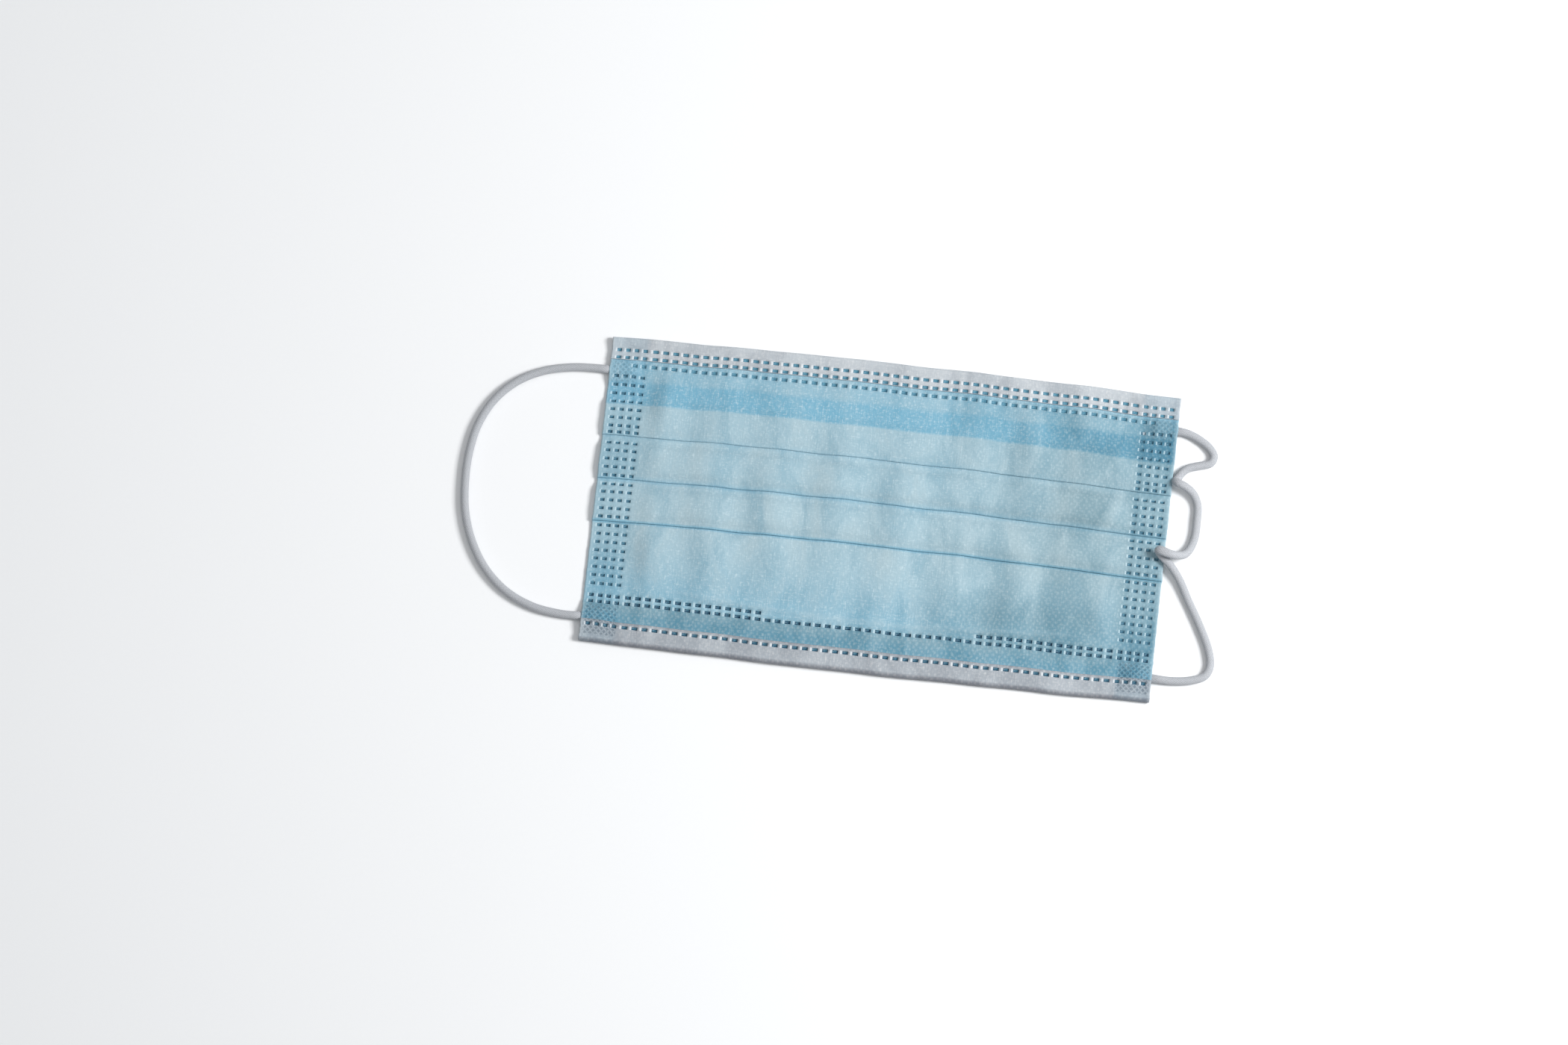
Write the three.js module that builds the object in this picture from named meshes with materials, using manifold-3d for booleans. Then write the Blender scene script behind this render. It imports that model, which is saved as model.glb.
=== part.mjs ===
import * as THREE from 'three';
import { mergeVertices } from 'three/addons/utils/BufferGeometryUtils.js';
import Module from 'manifold-3d';

// Pleated surgical face mask, lying flat with its outer side up. Millimetres, +Z up.
// +X runs along the width and +Y towards the nose edge. The origin is on the surface that the
// mask lies on, under its middle.

// Overall sizes
const maskWidth = 175;
const maskHeight = 95;
const middleBow = 1.25; // how far the nose and chin edges bow out at mid width

// Cloth
const clothWall = 1; // all the bonded layers of non-woven together
const layerGap = 0.3; // air between two folds that lie on each other
const swellHeight = 1.3; // how far the open cloth lifts off its folds

// Hems, measured from the folded edge
const hemFront = 6.7;
const hemBack = 5.2;

// Side seams, where the folds are pressed and welded to each other
const seamWidth = 11.2;
const seamThickness = 2.6; // over three layers
const seamSlope = 5; // the stretch over which the cloth comes down to the seam

// Ear loops
const cordDiameter = 2.5;
const noseAnchor = 10.3; // from the nose edge down to the cord
const chinAnchor = 7.6; // from the chin edge up to the cord
const pieceGap = 0.3;

// One row for each pleat, from the nose edge down. The cloth turns under at the crease, and the
// fold reaches up behind by its depth. Both are shares of the mask's height.
const pleats = [
  { crease: 0.321, depth: 0.1 },
  { crease: 0.463, depth: 0.1 },
  { crease: 0.603, depth: 0.1 },
];

// Soft swells of the open cloth. The middle and the half size are shares of the mask's width,
// from its centre, and of its height, from the nose edge. The lift is a share of the swell height.
const swells = [
  { across: 0, down: 0.2, halfAcross: 0.43, halfDown: 0.115, lift: 0.45 },
  { across: 0, down: 0.41, halfAcross: 0.43, halfDown: 0.05, lift: 0.5 },
  { across: 0, down: 0.55, halfAcross: 0.43, halfDown: 0.05, lift: 0.5 },
  { across: 0, down: 0.76, halfAcross: 0.43, halfDown: 0.15, lift: 0.6 },
  { across: 0.15, down: 0.2, halfAcross: 0.07, halfDown: 0.11, lift: 0.3 },
  { across: 0.155, down: 0.41, halfAcross: 0.04, halfDown: 0.05, lift: 0.4 },
  { across: 0.25, down: 0.41, halfAcross: 0.05, halfDown: 0.05, lift: 0.35 },
  { across: 0.02, down: 0.55, halfAcross: 0.05, halfDown: 0.05, lift: 0.5 },
  { across: 0.16, down: 0.55, halfAcross: 0.04, halfDown: 0.05, lift: 0.45 },
  { across: 0.24, down: 0.55, halfAcross: 0.05, halfDown: 0.05, lift: 0.4 },
  { across: 0.19, down: 0.7, halfAcross: 0.06, halfDown: 0.1, lift: 0.4 },
  { across: 0.29, down: 0.72, halfAcross: 0.06, halfDown: 0.11, lift: 0.3 },
  { across: -0.13, down: 0.41, halfAcross: 0.05, halfDown: 0.05, lift: 0.4 },
  { across: -0.2, down: 0.55, halfAcross: 0.06, halfDown: 0.05, lift: 0.4 },
  { across: -0.11, down: 0.73, halfAcross: 0.08, halfDown: 0.12, lift: 0.35 },
];

// How finely the curved cloth is divided
const rowStep = 4.5;
const columnStep = 5.3;
const hemColumnStep = 8;
const turnSteps = 3;
const cordSides = 8;
const cordStep = 2 * cordDiameter;

// Heights of the stacked layers: layer 0 lies on the surface and layer 2 is the outer one
const layerPitch = clothWall + layerGap;
const layerHeight = (layer) => clothWall / 2 + layer * layerPitch;
const stackHeight = layerHeight(2) + clothWall / 2;

// Places across and down the mask
const noseEdge = maskHeight / 2;
const chinEdge = -maskHeight / 2;
const sideEdge = maskWidth / 2;
const seamStart = sideEdge - seamWidth;
const fromNose = (share) => noseEdge - share * maskHeight;
const clothEdge = noseEdge - layerPitch - clothWall / 2; // where the cloth ends inside a hem
const lastCrease = fromNose(pleats.at(-1).crease);

// A half turn of the cloth from one layer to another. The fold's outer edge is at y, and side is
// 1 where it points to the nose edge and -1 where it points to the chin edge.
function halfTurn(y, fromLayer, toLayer, side) {
  const middle = (layerHeight(fromLayer) + layerHeight(toLayer)) / 2;
  const radius = (layerHeight(fromLayer) - layerHeight(toLayer)) / 2;
  const centre = y - side * (radius + clothWall / 2);
  const points = [];
  for (let i = 0; i <= turnSteps; i++) {
    const angle = (Math.PI * i) / turnSteps;
    const seen = side < 0 && angle < Math.PI / 2;
    points.push({ y: centre + side * radius * Math.sin(angle), z: middle + radius * Math.cos(angle), seen });
  }
  return points;
}

// The middle line of the cloth from the nose edge to the chin edge, through every fold. Points
// marked as seen are on the outer side.
function clothPath() {
  const inHem = layerHeight(1);
  const path = [
    { y: clothEdge, z: inHem, seen: true },
    { y: noseEdge - hemFront, z: inHem, seen: true },
  ];
  for (const { crease, depth } of pleats) {
    const foldTop = fromNose(crease - depth);
    path.push({ y: foldTop - clothWall / 2, z: layerHeight(2), seen: true });
    path.push(...halfTurn(fromNose(crease), 2, 1, -1));
    path.push(...halfTurn(foldTop, 1, 0, 1));
    path.push({ y: fromNose(crease) - layerGap, z: layerHeight(0), seen: true });
  }
  path.push({ y: chinEdge + hemFront, z: inHem, seen: true });
  path.push({ y: -clothEdge, z: inHem, seen: true });
  return path;
}

// The same path with more points along the stretches that are seen.
function withRows(path) {
  const rows = [path[0]];
  for (let i = 1; i < path.length; i++) {
    const from = path[i - 1];
    const to = path[i];
    const length = Math.hypot(to.y - from.y, to.z - from.z);
    const count = from.seen && to.seen ? Math.max(1, Math.round(length / rowStep)) : 1;
    for (let k = 1; k <= count; k++) {
      const t = k / count;
      const y = THREE.MathUtils.lerp(from.y, to.y, t);
      const z = THREE.MathUtils.lerp(from.z, to.z, t);
      rows.push({ y, z, seen: to.seen });
    }
  }
  return rows;
}

// The points half a wall's thickness to one side of a path: side is 1 for its outer side.
function offsetPath(path, side) {
  return path.map((point, i) => {
    const before = path[Math.max(i - 1, 0)];
    const after = path[Math.min(i + 1, path.length - 1)];
    const arriving = new THREE.Vector2(point.y - before.y, point.z - before.z);
    const leaving = new THREE.Vector2(after.y - point.y, after.z - point.z);
    if (i === 0) arriving.copy(leaving);
    if (i === path.length - 1) leaving.copy(arriving);
    arriving.normalize();
    leaving.normalize();
    const along = arriving.clone().add(leaving).normalize();
    const reach = (side * clothWall) / 2 / along.dot(arriving);
    return new THREE.Vector2(point.y + along.y * reach, point.z - along.x * reach);
  });
}

// The outline of a wall of cloth along a path.
function wallOutline(path) {
  return [...offsetPath(path, 1), ...offsetPath(path, -1).reverse()];
}

// A cross-section carried along the width from one x to another.
function alongWidth(outline, fromX, toX, step) {
  const depth = toX - fromX;
  const geometry = new THREE.ExtrudeGeometry(new THREE.Shape(outline), {
    depth,
    steps: Math.max(1, Math.round(depth / step)),
    bevelEnabled: false,
  });
  const turned = new THREE.Matrix4().makeBasis(
    new THREE.Vector3(0, 1, 0),
    new THREE.Vector3(0, 0, 1),
    new THREE.Vector3(1, 0, 0),
  );
  return geometry.applyMatrix4(turned).translate(fromX, 0, 0);
}

const clothRows = withRows(clothPath());
const outerSide = offsetPath(clothRows, 1).filter((point, i) => clothRows[i].seen);

// Height of the outer side before it swells.
function outerHeight(y) {
  const next = Math.max(1, outerSide.findIndex((point) => point.x <= y));
  const from = outerSide[next - 1];
  const to = outerSide[next];
  return THREE.MathUtils.mapLinear(y, from.x, to.x, from.y, to.y);
}

// A smooth bell that is 1 in its middle and 0 from its half size on.
function bell(distance, halfSize) {
  const t = Math.min(1, Math.abs(distance) / halfSize);
  return (1 + Math.cos(Math.PI * t)) / 2;
}

// How far the open cloth lifts at a place.
function swellAt(x, y) {
  let lift = 0;
  for (const swell of swells) {
    const across = bell(x - swell.across * maskWidth, swell.halfAcross * maskWidth);
    const down = bell(y - fromNose(swell.down), swell.halfDown * maskHeight);
    lift += swell.lift * swellHeight * across * down;
  }
  return lift;
}

// The relaxed cloth bows towards both long edges at mid width, and the stretch below the last
// crease takes up the difference.
function bowAt(x, y) {
  const share = y > lastCrease ? 1 : THREE.MathUtils.mapLinear(y, lastCrease, chinEdge, 1, -1);
  return middleBow * share * (1 - (x / sideEdge) ** 2);
}

// The press of the side seams, as a factor on the height above the lowest layer.
function pressAt(x) {
  const pressed = (seamThickness - clothWall) / (stackHeight - clothWall);
  const t = THREE.MathUtils.smoothstep(Math.abs(x), seamStart - seamSlope, seamStart);
  return THREE.MathUtils.lerp(1, pressed, t);
}

// Lets the swells, the bow and the press act on a geometry.
function settle(geometry) {
  const place = geometry.attributes.position;
  const underOuterLayer = clothWall + layerGap / 2;
  for (let i = 0; i < place.count; i++) {
    const x = place.getX(i);
    const y = place.getY(i);
    let z = place.getZ(i);
    const inOuterLayer = Math.abs(y) < clothEdge && z > outerHeight(y) - underOuterLayer;
    if (inOuterLayer) z += swellAt(x, y);
    if (z > clothWall) z = clothWall + (z - clothWall) * pressAt(x);
    place.setXYZ(i, x, y + bowAt(x, y), z);
  }
  return geometry;
}

const manifold = await Module();
manifold.setup();

function solidFrom(geometry) {
  geometry.deleteAttribute('normal');
  geometry.deleteAttribute('uv');
  const merged = mergeVertices(geometry, 1e-5);
  const vertProperties = new Float32Array(merged.attributes.position.array);
  const triVerts = new Uint32Array(merged.index.array);
  return new manifold.Manifold(new manifold.Mesh({ numProp: 3, vertProperties, triVerts }));
}

function geometryFrom(solid) {
  const mesh = solid.getMesh();
  const geometry = new THREE.BufferGeometry();
  geometry.setAttribute('position', new THREE.BufferAttribute(mesh.vertProperties, 3));
  geometry.setIndex(new THREE.BufferAttribute(mesh.triVerts, 1));
  return geometry;
}

// The folded cloth, open between its layers in the middle and fused to one wall at both seams.
function pleatedPanel() {
  const backEnd = noseEdge - hemBack - pieceGap;
  const underHem = layerHeight(1) - clothWall / 2;
  const seamOutline = [
    ...outerSide,
    new THREE.Vector2(-clothEdge, underHem),
    new THREE.Vector2(-backEnd, underHem),
    new THREE.Vector2(-backEnd, 0),
    new THREE.Vector2(backEnd, 0),
    new THREE.Vector2(backEnd, underHem),
    new THREE.Vector2(clothEdge, underHem),
  ];
  const folds = solidFrom(settle(alongWidth(wallOutline(clothRows), -seamStart, seamStart, columnStep)));
  const left = solidFrom(settle(alongWidth(seamOutline, -sideEdge, -seamStart, columnStep)));
  const right = solidFrom(settle(alongWidth(seamOutline, seamStart, sideEdge, columnStep)));
  return geometryFrom(folds.add(left).add(right));
}

// A strip folded over a long edge: side is 1 for the nose edge and -1 for the chin edge.
function hem(side) {
  const path = [
    { y: noseEdge - hemFront, z: layerHeight(2) },
    ...halfTurn(noseEdge, 2, 0, 1),
    { y: noseEdge - hemBack, z: layerHeight(0) },
  ];
  const outline = wallOutline(path).map((point) => new THREE.Vector2(side * point.x, point.y));
  return settle(alongWidth(outline, -sideEdge, sideEdge, hemColumnStep));
}

// A round cord along a route of points.
function cord(route) {
  const section = new THREE.Shape();
  for (let i = 0; i < cordSides; i++) {
    const angle = (2 * Math.PI * i) / cordSides;
    const x = (cordDiameter / 2) * Math.cos(angle);
    const y = (cordDiameter / 2) * Math.sin(angle);
    if (i === 0) section.moveTo(x, y);
    else section.lineTo(x, y);
  }
  const points = route.map(([x, y, z]) => new THREE.Vector3(x, y, z));
  const extrudePath = new THREE.CatmullRomCurve3(points, false, 'centripetal');
  const steps = Math.round(extrudePath.getLength() / cordStep);
  return new THREE.ExtrudeGeometry(section, { steps, bevelEnabled: false, extrudePath });
}

// The ear loops' routes: x, y and the height of the cord's middle, in millimetres
const cordRest = cordDiameter / 2 + 0.05; // lying on the surface
const cordStart = sideEdge + pieceGap;
const noseAnchorY = noseEdge - noseAnchor;
const chinAnchorY = chinEdge + chinAnchor;

// Right loop: it sags down from the nose anchor, kinks, folds back over the side seam, passes
// beneath itself and runs out to the chin anchor.
const rightRoute = [
  [cordStart, noseAnchorY, cordRest],
  [90.6, 36.9, cordRest],
  [94.4, 35.4, cordRest],
  [97.7, 33.3, cordRest],
  [99.6, 30.7, cordRest],
  [98.8, 28.4, cordRest],
  [95.4, 27.3, cordRest],
  [92.0, 26.1, cordRest],
  [89.8, 24.1, cordRest],
  [89.6, 21.7, cordRest],
  [91.7, 20.3, cordRest],
  [94.1, 18.2, cordRest],
  [95.6, 15.0, cordRest],
  [96.3, 10.3, cordRest],
  [96.6, 5.2, cordRest],
  [96.2, 1.6, 1.6],
  [94.4, -0.9, 3.0],
  [91.2, -1.8, 5.6],
  [88.0, -1.6, 7.0],
  [85.6, -0.6, 6.6],
  [85.3, -0.9, 4.9],
  [87.4, -3.2, 4.2],
  [89.6, -5.6, 3.1],
  [92.6, -9.4, 1.6],
  [96.4, -14.6, cordRest],
  [101.2, -22.2, cordRest],
  [104.3, -29.2, cordRest],
  [105.2, -34.2, cordRest],
  [103.8, -37.6, cordRest],
  [99.8, -39.2, cordRest],
  [93.8, -39.9, cordRest],
  [cordStart, chinAnchorY, cordRest],
];

// Left loop: one open bend of the same length.
const leftRoute = [
  [-cordStart, noseAnchorY, cordRest],
  [-92.0, 37.2, cordRest],
  [-99.5, 36.6, cordRest],
  [-108.0, 34.4, cordRest],
  [-115.6, 30.2, cordRest],
  [-121.6, 24.0, cordRest],
  [-125.6, 16.0, cordRest],
  [-127.4, 7.0, cordRest],
  [-127.6, -2.0, cordRest],
  [-126.6, -11.0, cordRest],
  [-123.6, -20.0, cordRest],
  [-118.4, -28.4, cordRest],
  [-111.2, -34.8, cordRest],
  [-102.6, -38.6, cordRest],
  [-94.0, -39.9, cordRest],
  [-cordStart, chinAnchorY, cordRest],
];

// Materials
const blueCloth = new THREE.MeshStandardMaterial({ color: 0x9dc1cf, roughness: 0.85, metalness: 0 });
const whiteNoseCloth = new THREE.MeshStandardMaterial({ color: 0xd3d9dc, roughness: 0.85, metalness: 0 });
const whiteChinCloth = whiteNoseCloth.clone();
const leftElastic = new THREE.MeshStandardMaterial({ color: 0xd0d2d6, roughness: 0.8, metalness: 0 });
const rightElastic = leftElastic.clone();

function piece(name, geometry, material) {
  const mesh = new THREE.Mesh(geometry, material);
  mesh.name = name;
  return mesh;
}

const mask = new THREE.Group();
mask.add(piece('pleated_panel', pleatedPanel(), blueCloth));
mask.add(piece('nose_hem', hem(1), whiteNoseCloth));
mask.add(piece('chin_hem', hem(-1), whiteChinCloth));
mask.add(piece('ear_loop_left', cord(leftRoute), leftElastic));
mask.add(piece('ear_loop_right', cord(rightRoute), rightElastic));

export default mask;
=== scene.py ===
"""Pleated surgical face mask of non-woven cloth, lying flat with its blue side up.

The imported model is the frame, and every piece is made in its place. The sizes and colours that a
user would change are properties of the scene. Each piece has an operator, and a panel in the
sidebar lists them. Properties are in metres, and the code works in millimetres.
"""

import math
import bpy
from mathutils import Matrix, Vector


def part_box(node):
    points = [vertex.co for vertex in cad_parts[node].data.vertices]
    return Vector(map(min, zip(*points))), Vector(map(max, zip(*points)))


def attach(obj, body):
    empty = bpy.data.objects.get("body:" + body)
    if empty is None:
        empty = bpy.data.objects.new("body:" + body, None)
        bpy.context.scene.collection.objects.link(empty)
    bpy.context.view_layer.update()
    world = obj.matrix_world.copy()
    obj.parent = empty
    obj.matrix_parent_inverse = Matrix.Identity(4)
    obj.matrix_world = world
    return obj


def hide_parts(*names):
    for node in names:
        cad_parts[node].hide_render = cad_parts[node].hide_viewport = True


bl_info = {
    "name": "Surgical Face Mask",
    "version": (1, 0, 0),
    "blender": (4, 5, 0),
    "location": "3D View > Sidebar > Face Mask",
    "description": "Makes a pleated face mask from its plies, hems and ear loops",
    "category": "Add Mesh",
}

from bisect import bisect_left, bisect_right

import bmesh
import bpy
from bpy.props import FloatProperty, FloatVectorProperty, PointerProperty
from mathutils import Vector, noise

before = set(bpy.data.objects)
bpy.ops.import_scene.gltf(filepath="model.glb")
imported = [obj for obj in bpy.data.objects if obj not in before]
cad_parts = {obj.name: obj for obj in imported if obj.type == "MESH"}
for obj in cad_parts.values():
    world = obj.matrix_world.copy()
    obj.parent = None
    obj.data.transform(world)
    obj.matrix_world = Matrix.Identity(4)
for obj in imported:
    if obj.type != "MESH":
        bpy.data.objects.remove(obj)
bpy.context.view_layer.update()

MM = 0.001
PANEL_LOW, PANEL_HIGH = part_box("pleated_panel")


def linear(colour):
    """A colour written as #rrggbb, in linear light."""
    shares = [int(colour[i : i + 2], 16) / 255 for i in (1, 3, 5)]
    return [c / 12.92 if c <= 0.04045 else ((c + 0.055) / 1.055) ** 2.4 for c in shares]


def size_property(name, description, millimetres):
    return FloatProperty(name=name, description=description, default=millimetres * MM, min=0.0,
                         precision=5, unit="LENGTH")


def colour_property(name, description, colour):
    return FloatVectorProperty(name=name, description=description, default=linear(colour),
                               min=0.0, max=1.0, size=3, subtype="COLOR")


class MaskSizes(bpy.types.PropertyGroup):
    """Sizes of the mask."""

    width: FloatProperty(
        name="Width", description="From one side edge to the other",
        default=PANEL_HIGH[0] - PANEL_LOW[0], min=0.0, precision=5, unit="LENGTH",
    )
    height: size_property("Height", "From the nose edge to the chin edge, at the sides", 95)
    middle_bow: size_property("Middle bow", "How far the long edges bow out at mid width", 1.25)
    outer_ply: size_property("Outer ply", "Thickness of the blue cloth", 0.2)
    inner_ply: size_property("Inner ply", "Thickness of the white cloth behind it", 0.14)
    ply_gap: size_property("Ply gap", "From the blue cloth's face to the white cloth's", 0.45)
    pleat_depth: size_property(
        "Pleat depth", "How far each fold reaches up behind its crease", 9.85
    )
    swell: size_property("Swell", "How far the open cloth lifts between the creases", 1.3)
    wave: size_property("Wave", "Height of the soft ripples that cross the pleats", 1.0)
    hem_front: size_property("Hem front", "From the nose or chin edge to the hem's free edge", 6.85)
    hem_back: size_property("Hem back", "The same on the inner side", 5.2)
    dash_length: size_property("Weld dash length", "Length of a weld along the hems", 1.9)
    dash_height: size_property("Weld dash height", "Height of a weld along the hems", 1.1)
    dash_pitch: size_property("Weld dash pitch", "From one weld along the hems to the next", 3.1)
    dot_length: size_property("Weld dot length", "Length of a weld in the side seams", 1.5)
    dot_height: size_property("Weld dot height", "Height of a weld in the side seams", 0.98)
    dot_pitch: size_property("Weld dot pitch", "From one row of seam welds to the next", 2.58)
    weld_depth: size_property("Weld depth", "How deep a weld is pressed into the cloth", 0.3)
    cord_diameter: size_property("Cord diameter", "Thickness of the ear loops", 2.5)
    cord_weld: size_property("Cord weld", "How far a cord's welded end reaches under the cloth", 7)


class MaskColours(bpy.types.PropertyGroup):
    """Colours of the mask and of the floor."""

    blue: colour_property("Blue cloth", "Outer ply where one layer lies on the floor", "#76acc4")
    pale_blue: colour_property(
        "Backed blue cloth", "Outer ply with white layers beneath", "#a9c1ca"
    )
    white: colour_property("White cloth", "Hems and inner ply", "#ccd1d5")
    # Painted shade of the white cloth: it shows where the backing is low, so the chin hem is darker
    # than the nose hem
    shade: colour_property("White cloth shade", "Hollows between the fibres of the hems", "#aeb6bd")
    # Partly painted shade: the film is coloured dark also for the shade in the pressed pockets
    film: colour_property("Melted film", "Bottom of the welds", "#082e48")
    elastic: colour_property("Elastic", "Ear loops", "#bcbfc4")
    floor: colour_property("Floor", "Pale floor under the mask", "#f9fafb")


# Places down the mask, as distances from the nose edge
CREASES = (30.5, 44.0, 57.3)
BLUE_SHADE_AT_CREASES = (0.25, 0.6, 1.0)  # how much painted blue shade darkens each crease
NOSE_WELDS = (3.9, 6.2)
UPPER_WELDS = (8.6,)
LOWER_WELDS = (80.25, 82.15)
CHIN_WELDS = (89.5,)
FIRST_SEAM_ROW, LAST_SEAM_ROW = 12.1, 77.0

# Places across the mask, as distances from its middle
LAST_DASH = 74.0
SEAM_WELDS = (77.2, 79.9, 82.5, 85.2)
UPPER_WELDS_TO = 81.0
SHORT_ROW_FROM = 33.0  # a wrinkle hides the first lower row of welds nearer the middle
CORD_PRESSED_TO = 86.2

# Distances from a side edge
SEAM_SLOPE = (19.0, 11.0)  # where the loose cloth comes down to the welded seam
NARROW_COLUMN = 0.45  # the grid's columns at the side edges and beside the seams' welds

# How milky the film of each group of welds is
NOSE_MILKY, LOWER_MILKY, SEAM_MILKY, CHIN_MILKY = 0.48, 0.0, 0.2, 0.1
HIGHLIGHT_REACH = 0.7  # a painted highlight reaches up to this far to the left of a weld

# Swells of the open cloth: the middle, as a distance from the nose edge, the half size, the share
SWELLS = ((18.5, 12.0, 0.75), (38.5, 7.5, 0.6), (51.5, 7.5, 0.6), (68.0, 14.0, 0.8))
RIPPLE_PITCH = 18.5
WRINKLE_HEIGHT = 0.4
WRINKLE_ENDS = (52.0, 68.0)  # where the wrinkle fades, as distances from the middle of the mask
QUILT_DIP, QUILT_REACH = 0.16, 0.75  # how the cloth dips along a row of welds
CORNER_LIFT = 1.35  # how far a corner stands up on the end of its cord
FUZZ, RAGGED, WANDER = 0.05, 0.3, 0.3  # unevenness of the face, the side edges and the rows
LOWEST = 0.16  # the lowest height of a face, which keeps the wall behind it off the floor

# Heights of the outer ply: on the floor, turned over behind a pleat, and in front of it
LOW, TURNED, HIGH = 0.62, 0.95, 1.95
PRESSED = 1.5  # the height of the pleat's front where it is pressed down at its crease
HOLLOW = 0.85  # the height between the pleats
FREE_AT_CREASE = 0.35  # how freely the cloth lifts at its creases

# How much the white layers behind show through, at distances from the nose edge
BACKING = (
    (0.0, 0.4), (13.2, 0.38), (13.7, 0.0), (20.4, 0.0), (21.0, 0.75), (44.0, 0.8), (57.3, 0.85),
    (66.0, 0.72), (78.0, 0.35), (80.0, 0.4), (84.6, 0.38), (85.6, 0.04), (95.0, 0.04),
)

# Where the ear loops run: x, y and the height of the cord's middle, which is CORD_REST where none
# is given. The right loop sags from the nose corner, kinks, folds back over the side seam, passes
# beneath itself and runs out to the chin corner. The left loop is one open bend.
CORD_Y_NOSE, CORD_Y_CHIN, CORD_REST = 37.2, -39.9, 1.3
RIGHT_LOOP = (
    (87.8, 37.2), (90.6, 36.9), (94.4, 35.4), (97.6, 33.3), (99.4, 30.8), (98.7, 28.5),
    (95.4, 27.3), (92.0, 26.1), (90.1, 24.4), (89.2, 22.8, 1.4), (88.6, 21.5, 2.4),
    (89.4, 20.8, 3.7), (91.6, 20.0, 3.6), (94.4, 18.1, 2.1), (96.0, 15.0), (96.3, 10.3),
    (96.2, 5.3), (95.3, 1.8, 1.6), (93.7, -0.8, 3.0), (91.0, -1.8, 5.2), (88.3, -1.6, 6.5),
    (86.4, -1.0, 6.4), (85.6, -0.9, 5.2), (86.6, -1.9, 3.9), (89.5, -4.6, 3.0), (92.9, -8.8, 1.9),
    (96.2, -14.7), (100.6, -22.3), (103.9, -29.2), (104.9, -34.2), (103.6, -37.4), (99.8, -39.1),
    (93.8, -40.0), (87.8, -39.9),
)
LEFT_LOOP = (
    (-87.8, 37.2), (-92.0, 37.2), (-99.5, 36.6), (-108.0, 34.4), (-115.6, 30.2), (-121.6, 24.0),
    (-125.6, 16.0), (-127.4, 7.0), (-127.6, -2.0), (-126.6, -11.0), (-123.6, -20.0),
    (-118.4, -28.4), (-111.2, -34.8), (-102.6, -38.6), (-94.0, -39.9), (-87.8, -39.9),
)

# The camera: degrees, millimetres for its target and lens, and metres for its distance
CAMERA_ELEVATION, CAMERA_AZIMUTH = 80, 6.341
CAMERA_TARGET = (-29.189, -4.019, 0)
CAMERA_LENS = 225.093
CAMERA_DISTANCE = 3.0


def sizes():
    return bpy.context.scene.mask_sizes


def colours():
    return bpy.context.scene.mask_colours


def millimetres(name):
    """One of the mask's sizes, in millimetres."""
    return getattr(sizes(), name) / MM


def half(name):
    return millimetres(name) / 2


# Curves and ramps


def mix(a, b, share):
    return a + (b - a) * share


def smooth(value, start, end):
    """0 before start, 1 after end, and a soft ramp between."""
    t = min(1.0, max(0.0, (value - start) / (end - start)))
    return t * t * (3 - 2 * t)


def bell(distance, half_size):
    """1 in the middle and 0 from half_size on."""
    t = min(1.0, abs(distance) / half_size)
    return (1 + math.cos(math.pi * t)) / 2


def from_table(table, place):
    """The value at a place, between the two nearest rows of a table."""
    after = min(len(table) - 1, max(1, bisect_right([row[0] for row in table], place)))
    (start, low), (end, high) = table[after - 1], table[after]
    return mix(low, high, min(1.0, max(0.0, (place - start) / (end - start))))


def thinned(lines, gap_at):
    """Lines in order, each one further than the gap from the one before."""
    kept = []
    for line in sorted(lines):
        if not kept or line - kept[-1] > gap_at(line):
            kept.append(line)
    return kept


def spaced(lines, widest_at):
    """Lines in order, none doubled, with more between them where they stand wider apart."""
    kept = thinned(lines, lambda line: 0.08)
    filled = kept[:1]
    for line in kept[1:]:
        start = filled[-1]
        count = max(1, math.ceil((line - start) / widest_at((start + line) / 2)))
        filled += [mix(start, line, k / count) for k in range(1, count + 1)]
    return filled


# The lie of the cloth


def swell_at(x, down):
    """How far the open cloth stands off its folds, as a share of the swell."""
    broad = sum(share * bell(down - middle, half_size) for middle, half_size, share in SWELLS)
    cloud = noise.noise(Vector((x / 21.0, down / 17.0, 3.1)))
    return max(0.0, broad * (1 + 0.7 * cloud))


def wave_at(x, down):
    """Soft ripples that cross every pleat, as a share of the wave."""
    drift = 6.0 * noise.noise(Vector((x / 60.0, down / 26.0, 7.7)))
    strength = 0.55 + 0.9 * noise.noise(Vector((x / 34.0, down / 30.0, 1.9)))
    ridge = (1 + math.cos(2 * math.pi * (x - 4.0 + drift) / RIPPLE_PITCH)) / 2
    inside = smooth(down, 2.0, 12.0) * (1 - smooth(down, 76.0, 90.0))
    return max(0.0, strength) * ridge * mix(0.25, 1.0, inside)


def quilt_at(down):
    """How the cloth dips along its rows of welds, in millimetres."""
    return sum(
        QUILT_DIP * math.exp(-(((down - row) / QUILT_REACH) ** 2))
        for row in (*NOSE_WELDS, *UPPER_WELDS, *LOWER_WELDS, *CHIN_WELDS)
    )


def single_at(down):
    """1 in the stripe under the nose hem where the blue cloth is a single layer, else 0."""
    return smooth(down, 12.9, 13.9) * (1 - smooth(down, 20.2, 21.0))


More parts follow.
